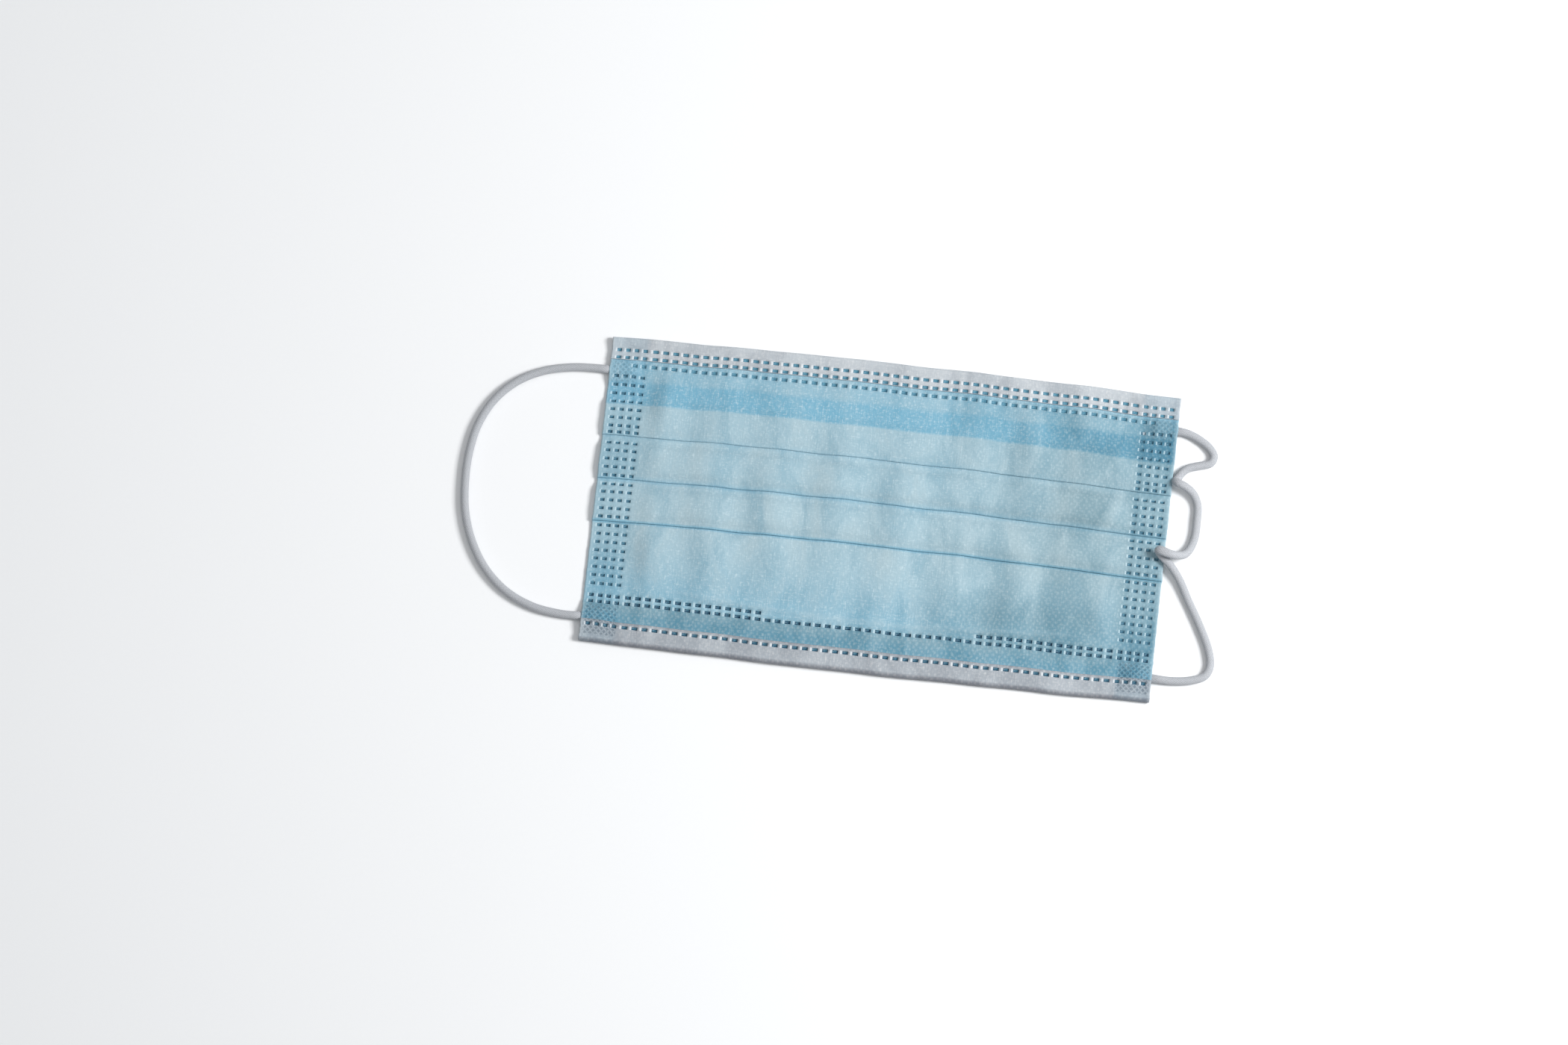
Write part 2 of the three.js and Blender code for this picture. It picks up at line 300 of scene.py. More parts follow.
def painted_shade_at(x, down):
    """How far the cloth is darkened: painted shade towards one side, on the chin hem and most
    along its rolled edge; also darker below the lower welds, a little at the seams, in parts of
    the second pleat and above the lower welds, and lighter in a band just inside one seam."""
    # Painted shade: darker towards one side, less in a band just inside that side's seam
    across = 0.47 * smooth(x, 5, 73) + 0.06 * smooth(abs(x), 75, 77) - 0.16 * bell(x - 72, 6)
    slack = 0.3 * smooth(x, 3, 30) * (1 - 0.6 * smooth(x, 40, 75)) * smooth(down, 63, 75)
    slack += 0.22 * bell(x - 62, 16) * smooth(down, 31, 33) * (1 - smooth(down, 42, 44))
    stripe = single_at(down) * (0.15 * smooth(x, 30, 70) + 0.04 * smooth(abs(x), 74, 78))
    if down < 7:
        return 0.06
    # Painted shade on the chin hem, deepest along its rolled edge
    if down > 88.5:
        return 0.3 + 0.7 * smooth(down, 93.9, 94.3)
    if down > 81:
        return mix(across + slack, 0.6, smooth(down, 81, 83))
    return across + slack + stripe


def wrinkle_line(x):
    """How far down the fold of slack cloth lies above the lower welds."""
    return 80.3 - 3.4 * ((abs(x) + 15) / 80) ** 2


def wrinkle_at(x, down):
    """The height of that fold, as a share of its own: a lip that ends at the line."""
    above = wrinkle_line(x) - down
    along = 1 - smooth(abs(x), *WRINKLE_ENDS)
    return along * math.exp(-((above / (0.28 if above < 0 else 1.6)) ** 2))


def cord_lift_at(x, down):
    """How far a corner stands up on the welded end of its cord, in millimetres."""
    along = smooth(abs(x), 77.0, 82.0)
    nose = bell(down - (half("height") - CORD_Y_NOSE), 6.0)
    chin = bell(down - (half("height") - CORD_Y_CHIN), 6.0)
    return CORNER_LIFT * along * (nose + chin)


def bow_at(x, down):
    """How far a place moves towards the nose edge because the long edges bow out."""
    height = millimetres("height")
    last = CREASES[-1]
    share = 1.0 if down < last else mix(1.0, -0.55, (down - last) / (height - last))
    return millimetres("middle_bow") * share * (1 - (2 * x / millimetres("width")) ** 2)


def settled(x, y, z, free):
    """A place of the flat folded mask after its swells, ripples and bow, in metres."""
    half_width = half("width")
    down = half("height") - y
    loose = 1 - smooth(abs(x), half_width - SEAM_SLOPE[0], half_width - SEAM_SLOPE[1])
    z += loose * free * millimetres("swell") * swell_at(x, down)
    z += loose * millimetres("wave") * wave_at(x, down)
    if free > 0:
        z += free * (WRINKLE_HEIGHT * wrinkle_at(x, down) - quilt_at(down))
        z += free * FUZZ * noise.noise(Vector((x / 1.9, y / 1.9, 0.4)))
    z += cord_lift_at(x, down)
    edge = smooth(abs(x), half_width - 3, half_width)
    x += math.copysign(RAGGED * edge * noise.noise(Vector((0.3, y / 2.6, 5.0))), x)
    y += bow_at(x, down) + WANDER * noise.noise(Vector((x / 17.0, y / 45.0, 9.2)))
    return Vector((x, y, max(z, LOWEST))) * MM


class FoldLine:
    """The line that a ply follows over its folds: y, z, and how freely it lifts there."""

    def __init__(self, points):
        self.points = points
        self.flat = [0.0]
        for (y0, z0, _), (y1, z1, _) in zip(points, points[1:]):
            self.flat.append(self.flat[-1] + math.hypot(y1 - y0, z1 - z0))

    def at(self, flat):
        """The place at a flat length."""
        i = min(len(self.flat) - 1, max(1, bisect_left(self.flat, flat)))
        (y0, z0, free0), (y1, z1, free1) = self.points[i - 1], self.points[i]
        share = (flat - self.flat[i - 1]) / (self.flat[i] - self.flat[i - 1])
        return mix(y0, y1, share), mix(z0, z1, share), mix(free0, free1, share)

    def turns(self):
        """The flat lengths of the points at the creases and in the hidden folds."""
        return [
            flat for flat, point in zip(self.flat, self.points) if point[2] in (0.0, FREE_AT_CREASE)
        ]

    def flat_of(self, y):
        """The flat length at which the seen cloth is at y."""
        for i, ((y0, _, free0), (y1, _, free1)) in enumerate(zip(self.points, self.points[1:])):
            if free0 > 0 and free1 > 0 and y1 <= y <= y0 and y0 > y1:
                return mix(self.flat[i], self.flat[i + 1], (y0 - y) / (y0 - y1))
        raise ValueError(f"no seen cloth at y {y}")


def slope(y_from, y_to, z_from, z_to, free_from, free_to):
    """A stretch of cloth that changes height and freedom smoothly."""
    count = max(2, round(abs(y_to - y_from) / 0.3))
    places = [(k / count, smooth(k / count, 0.0, 1.0)) for k in range(count + 1)]
    return [
        (mix(y_from, y_to, t), mix(z_from, z_to, s), mix(free_from, free_to, s)) for t, s in places
    ]


def half_turn(edge, z_from, z_to, side, free):
    """A rounded fold whose outermost place is at edge, from one height to another."""
    radius = abs(z_from - z_to) / 2
    return [
        (edge - side * radius * (1 - math.sin(a)), mix(z_from, z_to, (1 - math.cos(a)) / 2), free)
        for a in (math.pi * k / 8 for k in range(9))
    ]


def without_doubles(points):
    kept = points[:1]
    for point in points[1:]:
        if math.dist(point[:2], kept[-1][:2]) > 0.01:
            kept.append(point)
    return kept


def ply_line(behind):
    """A ply from the nose edge to the chin edge, through its three pleats. One that lies behind the
    outer ply stops short of each crease and wraps round the outer ply's hidden folds."""
    middle = half("height")
    hem = millimetres("hem_front")
    low, turned, high = LOW - behind, TURNED + 0.5 * behind, HIGH - 0.9 * behind
    pressed = PRESSED if behind == 0 else high - 0.05
    hollow = HOLLOW - behind
    y, z = middle - hem, 0.95 - behind
    points = slope(middle - 1.6, y, z + 0.1, z, 0.001, 0.2)
    for number, crease_down in enumerate(CREASES):
        crease = middle - crease_down
        top = crease + millimetres("pleat_depth")
        edge = crease + 4 * behind
        foot, crest = top + 2.5, top - 0.3  # the cloth rises from one to the other over the fold
        if number == 0:
            points += slope(y, y - 3.0, z, hollow, 0.2, 0.7)
            points += slope(y - 3.0, foot, hollow, hollow, 0.7, 1.0)
        else:
            points += slope(y, foot, z, hollow, 0.3, 0.9)
        points += slope(foot, crest, hollow, high - 0.1, 0.9, 1.0)
        points += slope(crest, edge + 3.0, high - 0.1, high, 1.0, 1.0)
        points += slope(edge + 3.0, edge + 0.3, high, pressed, 1.0, FREE_AT_CREASE)
        points += half_turn(edge, pressed, turned, -1, FREE_AT_CREASE)[:5]
        points += [(y, z, 0.0) for y, z, _ in half_turn(edge, pressed, turned, -1, 0.0)[5:]]
        points += slope(edge + 0.3, top + behind - 0.6, turned, turned, 0.0, 0.0)
        points += half_turn(top + behind, turned, low, 1, 0.0)
        y, z = crease - 0.1, low + 0.3
        points += slope(top + behind - 0.3, crease + 3.0, low, low, 0.0, 0.0)
        points += slope(crease + 3.0, crease, low, z, 0.0, 0.0)
    points += slope(y, y - 4.0, z, 0.75 - behind, 0.3, 1.0)
    points += slope(y - 4.0, middle - 79.0, 0.75 - behind, 0.8 - behind, 1.0, 1.0)
    points += slope(middle - 79.0, hem - middle, 0.8 - behind, 0.95 - behind, 1.0, 0.2)
    points += slope(hem - middle, 1.6 - middle, 0.95 - behind, 1.05 - behind, 0.2, 0.001)
    return FoldLine(without_doubles(points))


def hem_line(side):
    """A hem's strip round the nose edge, side 1, or the chin edge, side -1."""
    middle = half("height")
    front, back = millimetres("hem_front"), millimetres("hem_back")
    low, roll, deep = 0.2, 2.3, 0.85  # heights of the back and of the roll, and the roll's depth
    tall = (roll - low) / 2
    points = slope(middle - front, middle - 3.2, 1.55, 1.85, 1.0, 1.0)
    points += slope(middle - 3.2, middle - deep, 1.85, roll, 1.0, 1.0)
    for k in range(1, 13):
        angle = math.pi * k / 12
        y, z = middle - deep + deep * math.sin(angle), low + tall * (1 + math.cos(angle))
        points.append((y, z, 0.5 * (1 + math.cos(angle))))
    points += slope(middle - deep, middle - back, low, low, 0.0, 0.0)
    if side < 0:
        return FoldLine(without_doubles([(-y, z, free) for y, z, free in points]))
    return FoldLine(without_doubles(points[::-1]))


# Where the welds are


def seam_rows():
    """Distances from the nose edge of the rows of seam welds, kept off the creases."""
    pitch = millimetres("dot_pitch")
    rows = []
    for k in range(round((LAST_SEAM_ROW - FIRST_SEAM_ROW) / pitch) + 1):
        row = FIRST_SEAM_ROW + k * pitch
        for crease in CREASES:
            if abs(row - crease) < 0.95:
                row = crease - 0.95 if row < crease else crease + 1.05
        rows.append(row)
    return rows


def weld_columns():
    """The x of each weld's middle with half its length: the hems' dashes, then the seams' dots."""
    count = round(2 * LAST_DASH / millimetres("dash_pitch"))
    dashes = [(LAST_DASH * (1 - 2 * k / count), half("dash_length")) for k in range(count + 1)]
    dots = [(side * x, half("dot_length")) for x in SEAM_WELDS for side in (-1, 1)]
    return dashes, dots


def column_lines():
    """Every x at which the cloth's grid is cut."""
    half_width = half("width")
    dashes, dots = weld_columns()
    lines = [-half_width, half_width, -half_width + NARROW_COLUMN, half_width - NARROW_COLUMN]
    for x, half_dash in dashes:
        lines += [x - half_dash, x, x + half_dash, x - half("dash_pitch")]
    lines.append(dashes[0][0] + half("dash_pitch"))
    for x, half_dot in dots:
        lines += [x - half_dot, x, x + half_dot, x - half_dot - NARROW_COLUMN]
    return spaced(lines, lambda x: 1.0)


def weld_boxes(line, rows, columns, height):
    """Each weld of some rows as x from, x to, flat from, flat to."""
    boxes = []
    for row in rows:
        y = half("height") - row
        flats = line.flat_of(y + height / 2), line.flat_of(y - height / 2)
        for x, reach in columns:
            if row == LOWER_WELDS[0] and abs(x) < SHORT_ROW_FROM:
                continue
            if row in UPPER_WELDS and abs(x) > UPPER_WELDS_TO:
                continue
            boxes.append((x - reach, x + reach, *flats))
    return boxes


# Making pieces


def finished(name, bm, materials, slot, *nodes):
    """A mesh object from a bmesh, riding on the body in place of its CAD nodes."""
    mesh = bpy.data.meshes.new(name)
    bm.to_mesh(mesh)
    bm.free()
    for polygon in mesh.polygons:
        polygon.use_smooth = True
    for material in materials:
        mesh.materials.append(material)
    piece = bpy.data.objects.new(name, mesh)
    bpy.context.scene.collection.objects.link(piece)
    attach(piece, "root")
    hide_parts(*nodes)
    return piece


class ClothGrid:
    """A flat cloth cut on given lines, with its vertices and faces by column and row."""

    def __init__(self, columns, flats):
        self.columns, self.flats = columns, flats
        self.bm = bmesh.new()
        self.unfold = self.bm.loops.layers.uv.new("flat")
        self.highlight_and_pale_edge = self.bm.loops.layers.float.new("highlight_and_pale_edge")
        self.looks = {
            name: self.bm.verts.layers.float.new(name)
            for name in ("backing", "painted_shade", "painted_blue_shade", "melt", "patch")
        }
        across, along = len(columns) - 1, len(flats) - 1
        bmesh.ops.create_grid(self.bm, x_segments=across, y_segments=along, size=0.5)
        self.verts = {
            (round((v.co.x + 0.5) * across), round((0.5 - v.co.y) * along)): v
            for v in self.bm.verts
        }
        if len(self.verts) != (across + 1) * (along + 1):
            raise RuntimeError("the grid has another number of lines than the cloth")
        self.place_of = {v: place for place, v in self.verts.items()}
        self.faces = {}
        for face in self.bm.faces:
            middle = face.calc_center_median()
            self.faces[int((middle.x + 0.5) * across), int((0.5 - middle.y) * along)] = face
            for loop in face.loops:
                i, j = self.place_of[loop.vert]
                loop[self.unfold].uv = (columns[i] * MM, -flats[j] * MM)

    def fold(self, line, painted_shade_of):
        """Lays the flat cloth along a fold line, with its painted shade by x and distance down."""
        middle = half("height")
        for (i, j), v in self.verts.items():
            x = self.columns[i]
            y, z, free = line.at(self.flats[j])
            down = middle - y
            v.co = settled(x, y, z, free)
            for name, value in (
                ("backing", from_table(BACKING, down)), ("painted_shade", painted_shade_of(x, down)),
                ("painted_blue_shade", painted_blue_shade_at(x, down)), ("patch", patch_at(x, y)),
            ):
                v[self.looks[name]] = value

    def faces_in(self, x_from, x_to, flat_from, flat_to):
        """The faces of one box of the flat cloth."""
        first = bisect_left(self.columns, x_from - 0.03)
        last = bisect_left(self.columns, x_to - 0.03)
        top = bisect_left(self.flats, flat_from - 0.03)
        bottom = bisect_left(self.flats, flat_to - 0.03)
        return [self.faces[i, j] for i in range(first, last) for j in range(top, bottom)]

    def weld(self, boxes, milky):
        """Presses each box into the cloth, melted to a film that is most milky above its middle,
        and paints a highlight on the cloth to its left."""
        welded = []
        for box in boxes:
            pressed = self.faces_in(*box)
            welded += pressed
            for v in {v for face in pressed for v in face.verts}:
                i, j = self.place_of[v]
                off = 2 * abs(self.columns[i] - (box[0] + box[1]) / 2) / (box[1] - box[0])
                low = (self.flats[j] - box[2]) / (box[3] - box[2])
                v[self.looks["melt"]] = milky + 0.5 * max(0.0, (1 - off * off) * (1 - low))
            for face in self.faces_in(box[0] - HIGHLIGHT_REACH, box[0], box[2], box[3]):
                for loop in face.loops:
                    loop[self.highlight_and_pale_edge] = 1.0
        bmesh.ops.inset_region(
            self.bm, faces=welded, thickness=0.08 * MM, depth=-millimetres("weld_depth") * MM,
            use_even_offset=True, use_interpolate=True,
        )
        for face in welded:
            face.material_index = 1

    def add_highlight_and_pale_edge(self, amount_at):
        """Adds painted highlights and pale cut edges, by x and flat length."""
        for face in self.bm.faces:
            for loop in face.loops:
                x, flat = loop[self.unfold].uv / MM
                loop[self.highlight_and_pale_edge] = max(loop[self.highlight_and_pale_edge], amount_at(x, -flat))


def painted_blue_shade_at(x, down):
    """How much painted shade darkens the blue and makes it deeper: along each crease, in the
    pressed seams, and towards one side in the single layer under the nose hem."""
    creases = sum(
        painted_blue_shade * math.exp(-(((down - crease + 0.1) / 0.42) ** 2))
        for crease, painted_blue_shade in zip(CREASES, BLUE_SHADE_AT_CREASES)
    )
    seam = 0.26 * smooth(abs(x), 75.5, 77.5)
    stripe = single_at(down) * (0.25 * smooth(x, 35, 70) + 0.02 * smooth(abs(x), 74, 78))
    return creases + (seam + stripe)


def patch_at(x, y):
    """1 where a cord's end is welded under the cloth, and 0 away from there."""
    across = smooth(abs(x), 76.4, 77.2) * (1 - smooth(abs(x), 86.4, 87.2))
    nose = smooth(y, 33.2, 34.0) * (1 - smooth(y, 40.0, 40.8)) * smooth(abs(x), 78.8, 79.8)
    chin = smooth(y, -45.6, -44.8) * (1 - smooth(y, -35.8, -35.0))
    return across * (0.6 * nose + chin)


def finished_sheet(name, cloth, materials, slot, node, thickness):
    """A sheet object from its grid and its fold line, with its wall behind its face."""
    piece = finished(name, cloth.bm, materials, slot, node)
    wall = piece.modifiers.new("wall", "SOLIDIFY")
    wall.thickness = thickness
    wall.offset = -1.0


# Materials


def add_node(tree, kind, settings, inputs):
    """Adds one node with its settings. An input is a value, or the socket that feeds it."""
    node = tree.nodes.new(kind)
    for name, value in settings.items():
        setattr(node, name, value)
    for name, value in inputs.items():
        if isinstance(value, bpy.types.NodeSocket):
            tree.links.new(value, node.inputs[name])
        else:
            node.inputs[name].default_value = value
    return node


def material_of(name, shader, *details):
    """The named material, made once from the shader that a function adds to its tree."""
    material = bpy.data.materials.get(name)
    if material is None:
        material = bpy.data.materials.new(name)
        material.use_nodes = True
        tree = material.node_tree
        tree.nodes.clear()
        add_node(tree, "ShaderNodeOutputMaterial", {}, {"Surface": shader(tree, *details)})
    return material


def spunbond(tree, deep, backed, crest, shade_tone, highlight_tone):
    """Spunbond polypropylene, calendered: a soft mat of fine fibres that thousands of small
    bonded points hold together. It looks matt and slightly cloudy, with stray bright fibres and
    pale flecks that are partly painted glints. Painted shade darkens it towards one side and on
    the chin hem, and darkens and deepens its blue along each crease. Painted highlights whiten it
    beside the welds and along a wrinkle, and its cut side edges are pale."""
    flat = add_node(tree, "ShaderNodeUVMap", {"uv_map": "flat"}, {}).outputs["UV"]
    # white carries the painted highlights and the pale cut edges
    backing, painted_shade, painted_blue_shade, white, patch = (
        add_node(tree, "ShaderNodeAttribute", {"attribute_name": layer}, {}).outputs["Fac"]
        for layer in ("backing", "painted_shade", "painted_blue_shade", "highlight_and_pale_edge", "patch")
    )

    # Fibres are about 0.02 mm thick, and are drawn as streaks of 0.4 to 0.5 mm along the height
    # and across it, so that they show. The mat's clouds are about 10 mm wide and 24 mm tall.
    upright, crossing, clouds = (
        add_node(
            tree, "ShaderNodeTexNoise", {"noise_dimensions": "2D"},
            {
                "Vector": add_node(
                    tree, "ShaderNodeMapping", {}, {"Vector": flat, "Scale": scale}
                ).outputs["Vector"],
                "Scale": 1.0, "Detail": detail, "Roughness": 0.6, "Distortion": 0.4,
            },
        ).outputs["Fac"]
        for scale, detail in (((2400, 420, 1), 3.0), ((700, 1900, 1), 3.0), ((95, 42, 1), 4.0))
    )
    mat = add_node(
        tree, "ShaderNodeMath", {"operation": "ADD"}, {0: upright, 1: crossing}
    ).outputs[0]

    # Bonded points 1.88 mm apart in staggered rows 1.06 mm apart, and the cells of the welding
    # tool's lattice over the cord ends, 1.2 mm from line to line
    points, cells = (
        add_node(
            tree, "ShaderNodeTexVoronoi", {"voronoi_dimensions": "2D", "distance": distance},
            {
                "Vector": add_node(
                    tree, "ShaderNodeMapping", {},
                    {"Vector": flat, "Rotation": (0, 0, math.radians(45)), "Scale": scale},
                ).outputs["Vector"],
                "Scale": 1.0, "Randomness": randomness,
            },
        ).outputs["Distance"]
        for distance, scale, randomness in (
            ("EUCLIDEAN", (752, 667, 1), 0.3), ("CHEBYCHEV", (830, 830, 1), 0.0),
        )
    )
    flecks, through, bright, shown, uneven, stamped = (
        add_node(
            tree, "ShaderNodeMapRange", {},
            {"Value": value, "From Min": start, "From Max": end, "To Min": low, "To Max": high},
        ).outputs["Result"]
        for value, start, end, low, high in (
            (points, 0.12, 0.38, 1.0, 0.0),  # the bonded points show as pale flecks, partly painted glints
            (clouds, 0.3, 0.7, -0.2, 0.2),  # clouds let more or less of the white layers through
            (mat, 1.0, 1.4, 0.0, 0.6),  # stray fibres catch the light
            (painted_shade, 0.1, 0.65, 0.06, 0.38),  # flecks show most where the painted shade is deep
            (clouds, 0.38, 0.62, 0.16, -0.12),  # the painted shade is uneven, in clouds
            (cells, 0.24, 0.36, 0.36, 0.03),  # the lines of the lattice are stamped
        )
    )
    cloudy, seen_flecks, pressed, highlight_bars = (
        add_node(tree, "ShaderNodeMath", {"operation": operation}, {0: a, 1: b}).outputs[0]
        for operation, a, b in (
            ("ADD", backing, through), ("MULTIPLY", flecks, shown), ("MULTIPLY", patch, stamped),
            ("MULTIPLY", white, 0.52),  # painted highlights beside the welds and along the wrinkle, and pale cut edges
        )
    )
    uneven = add_node(
        tree, "ShaderNodeMath", {"operation": "ADD", "use_clamp": True}, {0: painted_shade, 1: uneven}
    ).outputs[0]

    # Painted shade darkens the colour by the shade tone and a pale blue tone; painted highlight
    # whitens it
    colour = (*deep, 1)
    for blend, share, tone in (
        ("MIX", cloudy, backed), ("MIX", bright, crest), ("MIX", seen_flecks, crest),
        ("MULTIPLY", uneven, shade_tone), ("MULTIPLY", painted_blue_shade, linear("#c3e9f8")),
        ("MIX", pressed, colours().film), ("MIX", highlight_bars, highlight_tone),
    ):
        colour = add_node(
            tree, "ShaderNodeMix", {"data_type": "RGBA", "blend_type": blend},
            {0: share, 6: colour, 7: (*tone, 1)},
        ).outputs[2]

    sunk = add_node(
        tree, "ShaderNodeMath", {"operation": "MULTIPLY_ADD"}, {0: flecks, 1: -0.25, 2: mat}
    ).outputs[0]
    height = add_node(
        tree, "ShaderNodeMath", {"operation": "MULTIPLY_ADD"}, {0: pressed, 1: -3.5, 2: sunk}
    ).outputs[0]
    bump = add_node(
        tree, "ShaderNodeBump", {}, {"Strength": 0.8, "Distance": 0.07 * MM, "Height": height}
    ).outputs["Normal"]
    return add_node(
        tree, "ShaderNodeBsdfPrincipled", {},
        {"Base Color": colour, "Roughness": 0.82, "IOR": 1.49, "Specular IOR Level": 0.3,
         "Sheen Weight": 0.12, "Sheen Roughness": 0.5, "Normal": bump},
    ).outputs["BSDF"]


def melted_film(tree):
    """Polypropylene melted by an ultrasonic welding tool: the fibres have run together into a
    thin clear film, smooth and slightly glossy. The bottom of each weld is coloured dark, partly as
    painted shade of its pocket, and it is milky where the tool pressed least, above its middle."""
    flat = add_node(tree, "ShaderNodeUVMap", {"uv_map": "flat"}, {}).outputs["UV"]
    melt = add_node(tree, "ShaderNodeAttribute", {"attribute_name": "melt"}, {}).outputs["Fac"]
    grain = add_node(
        tree, "ShaderNodeTexNoise", {"noise_dimensions": "2D"},
        {"Vector": flat, "Scale": 1900.0, "Detail": 2.0, "Roughness": 0.6},
    ).outputs["Fac"]
    speckled = add_node(
        tree, "ShaderNodeMapRange", {},
        {"Value": grain, "From Min": 0.45, "From Max": 0.75, "To Min": 0.0, "To Max": 0.45},
    ).outputs["Result"]
    milky = add_node(
        tree, "ShaderNodeMath", {"operation": "ADD"}, {0: speckled, 1: melt}
    ).outputs[0]
    colour = add_node(
        tree, "ShaderNodeMix", {"data_type": "RGBA"},
        {0: milky, 6: (*colours().film, 1), 7: (*linear("#5a93aa"), 1)},
    ).outputs[2]
    bump = add_node(
        tree, "ShaderNodeBump", {}, {"Strength": 0.5, "Distance": 0.05 * MM, "Height": grain}
    ).outputs["Normal"]
    return add_node(
        tree, "ShaderNodeBsdfPrincipled", {},
        {"Base Color": colour, "Roughness": 0.45, "IOR": 1.49, "Specular IOR Level": 0.35,
         "Normal": bump},
    ).outputs["BSDF"]


def knitted_elastic(tree):
    """Round elastic of fine white nylon knitted over rubber threads: matt, with a soft grain of
    small stitches in rows along the cord and painted shade, greyish, in the hollows between them."""
    along = add_node(tree, "ShaderNodeUVMap", {"uv_map": "flat"}, {}).outputs["UV"]

    # Stitches 0.67 mm apart round the cord, in staggered rows 0.42 mm apart along it
    turned = add_node(
        tree, "ShaderNodeMapping", {},
        {"Vector": along, "Rotation": (0, 0, math.radians(45)), "Scale": (2100, 1700, 1)},
    ).outputs["Vector"]
    stitches = add_node(
        tree, "ShaderNodeTexVoronoi", {"voronoi_dimensions": "2D"},
        {"Vector": turned, "Scale": 1.0, "Randomness": 0.25},
    ).outputs["Distance"]
    fluff = add_node(
        tree, "ShaderNodeTexNoise", {"noise_dimensions": "2D"},
        {"Vector": along, "Scale": 3500.0, "Detail": 2.0},
    ).outputs["Fac"]
    elastic = colours().elastic
    # Painted shade in the hollows between the stitches
    hollow = tuple(c * 0.76 for c in elastic)
    crown = add_node(
        tree, "ShaderNodeMapRange", {},
        {"Value": stitches, "From Min": 0.2, "From Max": 0.62, "To Min": 1.0, "To Max": 0.0},
    ).outputs["Result"]
    colour = add_node(
        tree, "ShaderNodeMix", {"data_type": "RGBA"}, {0: crown, 6: (*hollow, 1), 7: (*elastic, 1)}
    ).outputs[2]
    height = add_node(
        tree, "ShaderNodeMath", {"operation": "MULTIPLY_ADD"}, {0: fluff, 1: 0.4, 2: crown}
    ).outputs[0]
    bump = add_node(
        tree, "ShaderNodeBump", {}, {"Strength": 0.5, "Distance": 0.1 * MM, "Height": height}
    ).outputs["Normal"]
    return add_node(
        tree, "ShaderNodeBsdfPrincipled", {},
        {"Base Color": colour, "Roughness": 0.75, "IOR": 1.53, "Specular IOR Level": 0.3,
         "Sheen Weight": 0.2, "Sheen Roughness": 0.4, "Normal": bump},
    ).outputs["BSDF"]


def matt_floor(tree):
    """Pale matt-painted board: even and almost white, with a faint grain of the roller."""
    place = add_node(tree, "ShaderNodeTexCoord", {}, {}).outputs["Object"]
    grain = add_node(
        tree, "ShaderNodeTexNoise", {}, {"Vector": place, "Scale": 900.0, "Detail": 2.0}
    ).outputs["Fac"]
    floor = colours().floor
    colour = add_node(
        tree, "ShaderNodeMix", {"data_type": "RGBA"},
        {0: grain, 6: (*(c * 0.985 for c in floor), 1), 7: (*floor, 1)},
    ).outputs[2]
    return add_node(
        tree, "ShaderNodeBsdfPrincipled", {},
        {"Base Color": colour, "Roughness": 0.9, "Specular IOR Level": 0.2},
    ).outputs["BSDF"]


def blue_spunbond():
    tones = colours()
    # After the two blues: the tone of pale flecks and stray fibres, partly painted glints, then the
    # painted shade tone and the painted highlight tone
    return material_of(
        "blue spunbond polypropylene", spunbond, tones.blue, tones.pale_blue, linear("#c9dde4"),
        linear("#b1bdbf"), linear("#cde2ea"),
    )


def white_spunbond():
    tones = colours()
    # After the shade and white: the tone of pale flecks and stray fibres, partly painted glints,
    # then the painted shade tone and the painted highlight tone
    return material_of(
        "white spunbond polypropylene", spunbond, tones.shade, tones.white, linear("#dfe1e2"),
        linear("#b5b3b7"), linear("#e9eef1"),
    )


def weld_film():
    return material_of("melted polypropylene film", melted_film)


# Cords


def smooth_route(points, step):
    """A smooth line through the points, in even steps."""
    knots = [Vector(p) for p in points]
    knots = [knots[0] * 2 - knots[1], *knots, knots[-1] * 2 - knots[-2]]
    dense = []
    for p0, p1, p2, p3 in zip(knots, knots[1:], knots[2:], knots[3:]):
        t0 = 0.0
        t1 = t0 + math.sqrt((p1 - p0).length)
        t2 = t1 + math.sqrt((p2 - p1).length)
        t3 = t2 + math.sqrt((p3 - p2).length)
        for k in range(24):
            t = mix(t1, t2, k / 24)
            a1 = p0.lerp(p1, (t - t0) / (t1 - t0))
            a2 = p1.lerp(p2, (t - t1) / (t2 - t1))
            a3 = p2.lerp(p3, (t - t2) / (t3 - t2))
            b1 = a1.lerp(a2, (t - t0) / (t2 - t0))
            b2 = a2.lerp(a3, (t - t1) / (t3 - t1))
            dense.append(b1.lerp(b2, (t - t1) / (t2 - t1)))
    dense.append(knots[-2])
    lengths = [0.0]
    for a, b in zip(dense, dense[1:]):
        lengths.append(lengths[-1] + (b - a).length)
    count = round(lengths[-1] / step)
    line = []
    for k in range(count + 1):
        at = lengths[-1] * k / count
        i = min(len(dense) - 1, max(1, bisect_left(lengths, at)))
        share = (at - lengths[i - 1]) / (lengths[i] - lengths[i - 1])
        line.append(dense[i - 1].lerp(dense[i], share))
    return line, lengths[-1]


def flattened_at(x):
    """How round the cord still is: 1 outside the mask, less under the welded corner."""
    return mix(0.42, 1.0, smooth(abs(x), half("width") - 1.5, half("width") + 2.5))


